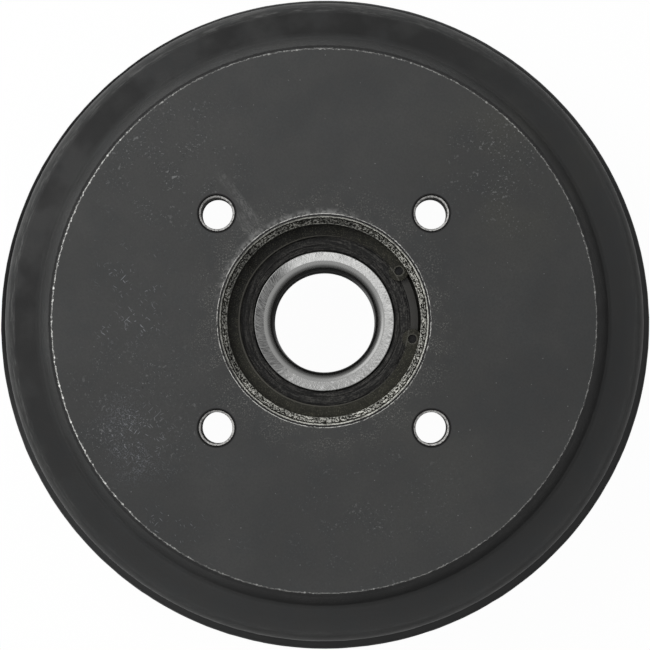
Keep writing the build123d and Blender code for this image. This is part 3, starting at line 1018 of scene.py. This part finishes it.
def rolled_steel(name, colour, size, low_rough, high_rough, metal=1.0, shadow_spots=()):
    """Honed or rolled steel with faint lines, a thin coat of oil, and a painted black shadow round the spots
    given.
    """
    material, tree, shader, place = finish(name, Metallic=metal)
    cloud = grain(tree, place, size, 3, 0.6)
    fine = grain(tree, place, 0.3, 3, 0.6)
    dark = tuple(c * 0.72 for c in colour)
    steel = tint(tree, fade(tree, cloud, 0.3, 0.7), dark, colour)
    for spot in shadow_spots:
        hole_shadow = fade(tree, distance(tree, place, spot), LUG_HOLE_R + 0.1, LUG_HOLE_R + 0.8, 1, 0)
        steel = tint(tree, hole_shadow, steel, HOLE_SHADOW_BLACK)
    tree.links.new(steel, shader.inputs["Base Color"])
    tree.links.new(fade(tree, cloud, 0.3, 0.7, low_rough, high_rough), shader.inputs["Roughness"])
    raised(tree, shader, fine, 0.004)
    return material


def dress(names, material):
    """Gives carried-over pieces their finish."""
    for name in names:
        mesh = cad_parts[name].data
        mesh.materials.clear()
        mesh.materials.append(material)


dress(["bearing_inner_ring_outboard", "bearing_inner_ring_inboard"], ground_steel())
# Painted shadow on the outer ring under the circlip's lug holes.
under_lug_holes = [(*spot, CIRCLIP_Z) for spot in lug_holes]
outer_ring_steel = rolled_steel("outer_ring_steel", (0.03, 0.029, 0.026), 3, 0.40, 0.60, 0.2, under_lug_holes)
dress(["bearing_outer_ring"], outer_ring_steel)

# Balls, cages and clip.
# The balls are polished bearing steel, thirteen to a row, snapped into crown cages moulded in
# glass-filled nylon. A split steel clip holds the two inner rings together until the axle does.
balls = [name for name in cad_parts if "_ball_" in name]
dress(balls, rolled_steel("ball_polished_steel", (0.75, 0.75, 0.76), 5, 0.05, 0.12))
dress(["inner_ring_clip"], rolled_steel("clip_strip_steel", (0.45, 0.45, 0.44), 2, 0.22, 0.40))


def moulded_nylon():
    """Tan nylon with short glass fibres near its surface."""
    material, tree, shader, place = finish("cage_glass_nylon")
    fibre = grain(tree, stretched(tree, place, 30, (0.5, 0.08, 0.5)), 1, 2)
    cloud = grain(tree, place, 3, 2)
    base = tint(tree, fade(tree, cloud, 0.3, 0.7), (0.27, 0.215, 0.125), (0.36, 0.30, 0.19))
    base = tint(tree, fade(tree, fibre, 0.55, 0.75, 0, 0.4), base, (0.50, 0.45, 0.33))
    tree.links.new(base, shader.inputs["Base Color"])
    tree.links.new(fade(tree, fibre, 0.3, 0.7, 0.38, 0.55), shader.inputs["Roughness"])
    raised(tree, shader, fibre, 0.01)
    return material


dress(["outboard_cage", "inboard_cage"], moulded_nylon())

# Seals.
# Nitrile rubber moulded on a steel washer and pressed into the outer ring at each end.
# The lip runs on the inner ring, and a shallow groove marks where the lip begins.
SEAL_OUT_R = 28.69
SEAL_IN_R = 23.35
SEAL_FACE_S = 17.9
BEARING_MID_Z = 37.5
# Corners of the section: radius, distance from the bearing's middle, rounding.
SEAL_SECTION = [
    (SEAL_IN_R, 16.5, 0),
    (23.6, 17.3, 0.15),
    (24.5, 17.55, 0.15),
    (25.0, 17.62, 0.05),
    (25.05, 17.35, 0.05),
    (25.35, 17.35, 0.05),
    (25.4, 17.7, 0.1),
    (26.2, SEAL_FACE_S, 0.2),
    (27.9, SEAL_FACE_S, 0.1),
    (28.0, 17.75, 0.05),
    (28.15, SEAL_FACE_S, 0.05),
    (SEAL_OUT_R, SEAL_FACE_S, 0.25),
    (SEAL_OUT_R, 14.9, 0.2),
    (27.79, 14.9, 0.2),
    (27.79, 17.0, 0.3),
    (25.2, 17.0, 0.2),
    (SEAL_IN_R, 16.3, 0),
]


def seal_rubber():
    """Dull black rubber with a bloom of dust in its grain."""
    material, tree, shader, place = finish("seal_nitrile_rubber", Specular_IOR_Level=0.25)
    radius, angle, height = polar(tree, place)
    bloom = grain(tree, place, 0.6, 4, 0.8)
    cloud = grain(tree, place, 5, 3, 0.6)
    rings = grain(tree, along_rim(tree, radius, angle, height, 26, 6, 0.4), 1, 2, 0.6)
    dust = calc(tree, "ADD", calc(tree, "MULTIPLY", bloom, 0.6), calc(tree, "MULTIPLY", rings, 0.4))
    dust = product(tree, fade(tree, dust, 0.46, 0.60), fade(tree, cloud, 0.3, 0.7, 0.5, 1))
    base = tint(tree, dust, (0.005, 0.005, 0.005), (0.072, 0.070, 0.065))
    tree.links.new(base, shader.inputs["Base Color"])
    tree.links.new(fade(tree, bloom, 0.3, 0.7, 0.55, 0.75), shader.inputs["Roughness"])
    raised(tree, shader, bloom, 0.05)
    return material


rubber = seal_rubber()
for name, side in (("outboard", 1), ("inboard", -1)):
    section = [(r, BEARING_MID_Z + side * s, rounding, 0) for r, s, rounding in SEAL_SECTION[::side]]
    seal = turned(f"{name}_bearing_seal", outline(section), [rubber], 256)
    crisp(seal)
    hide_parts(f"{name}_seal")
    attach(seal, "drum")

# Floor.
# A plain pale sweep under the drum. It shows as plain white, and keeps the drum's shadow.
FLOOR_SIZE = 14
FLOOR_WHITE = 0.975
FLOOR_MIRRORED = 0.15
bpy.ops.mesh.primitive_plane_add(size=FLOOR_SIZE)
floor = bpy.context.object
floor.name = "studio_floor"
floor_paint = bpy.data.materials.new("pale_floor")
floor_paint.use_nodes = True
tree = floor_paint.node_tree
paper = tree.nodes["Principled BSDF"]
paper.inputs["Base Color"].default_value = (0.88, 0.88, 0.88, 1)
paper.inputs["Roughness"].default_value = 0.9
glow = node(tree, "Emission", {"Color": (1, 1, 1, 1), "Strength": 1.0}).outputs[0]
ray = node(tree, "LightPath").outputs
mirrored = product(tree, ray["Is Glossy Ray"], FLOOR_MIRRORED)
seen = layered(tree, ray["Is Camera Ray"], ray["Is Transmission Ray"], mirrored)
seen = product(tree, seen, FLOOR_WHITE)
shown = node(tree, "MixShader", {0: seen, 1: paper.outputs[0], 2: glow}).outputs[0]
tree.links.new(shown, tree.nodes["Material Output"].inputs["Surface"])
floor.data.materials.append(floor_paint)

# Light.
# White backdrop all round and a soft grey fill. A softbox high on the left gives the soft light,
# and a smaller reflector above it gives the gloss.
AMBIENT = 0.44
LAMP_AZIMUTH = radians(147)
LAMP_AWAY = 1.1
# Diameter in metres, watts and height in degrees.
LAMPS = {"softbox": (0.8, 8.5, 48), "reflector": (0.7, 1.6, 60)}
world = bpy.data.worlds.new("white_studio")
bpy.context.scene.world = world
world.use_nodes = True
tree = world.node_tree
back = tree.nodes["Background"]
ray = node(tree, "LightPath").outputs
seen = layered(tree, ray["Is Camera Ray"], ray["Is Transmission Ray"])
# Bare metal mirrors a backdrop that is grey at its sides and white overhead.
sky = node(tree, "SeparateXYZ", {0: node(tree, "TexCoord").outputs["Generated"]}).outputs[2]
mirrored = product(tree, ray["Is Glossy Ray"], fade(tree, sky, 0.45, 0.90, 0.28, 0.97))
diffuse = product(tree, calc(tree, "SUBTRACT", 1.0, ray["Is Glossy Ray"]), AMBIENT)
tree.links.new(layered(tree, seen, mirrored, diffuse), back.inputs["Strength"])
back.inputs["Color"].default_value = (1, 1, 1, 1)

aim = Vector((0, 0, 0.05))
for name, (size, watts, lift) in LAMPS.items():
    lamp_data = bpy.data.lights.new(name, "AREA")
    lamp_data.shape = "DISK"
    lamp_data.size = size
    lamp_data.energy = watts
    lamp = bpy.data.objects.new(name, lamp_data)
    bpy.context.scene.collection.objects.link(lamp)
    level = cos(radians(lift))
    way = Vector((cos(LAMP_AZIMUTH) * level, sin(LAMP_AZIMUTH) * level, sin(radians(lift))))
    lamp.location = aim + LAMP_AWAY * way
    lamp.rotation_euler = (aim - lamp.location).to_track_quat("-Z", "Y").to_euler()
bpy.data.objects["softbox"].visible_glossy = False

# Camera.
# It looks almost straight down on the wheel face from a little over a metre.
CAMERA_AT = Vector((0.00635, -0.0227, 1.168))
LOOK_AT = Vector((0.00034, -0.00147, 0.066))
LENS_MM = 185.4
camera_data = bpy.data.cameras.new("camera")
camera_data.sensor_width = 36
camera_data.lens = LENS_MM
camera_data.clip_end = 20
camera = bpy.data.objects.new("camera", camera_data)
bpy.context.scene.collection.objects.link(camera)
camera.location = CAMERA_AT
fall = CAMERA_AT - LOOK_AT
camera.rotation_euler = (atan(-fall.y / fall.z), atan(fall.x / fall.z), 0)
bpy.context.scene.camera = camera
bpy.context.scene.view_settings.view_transform = "Standard"

bpy.context.view_layer.update()
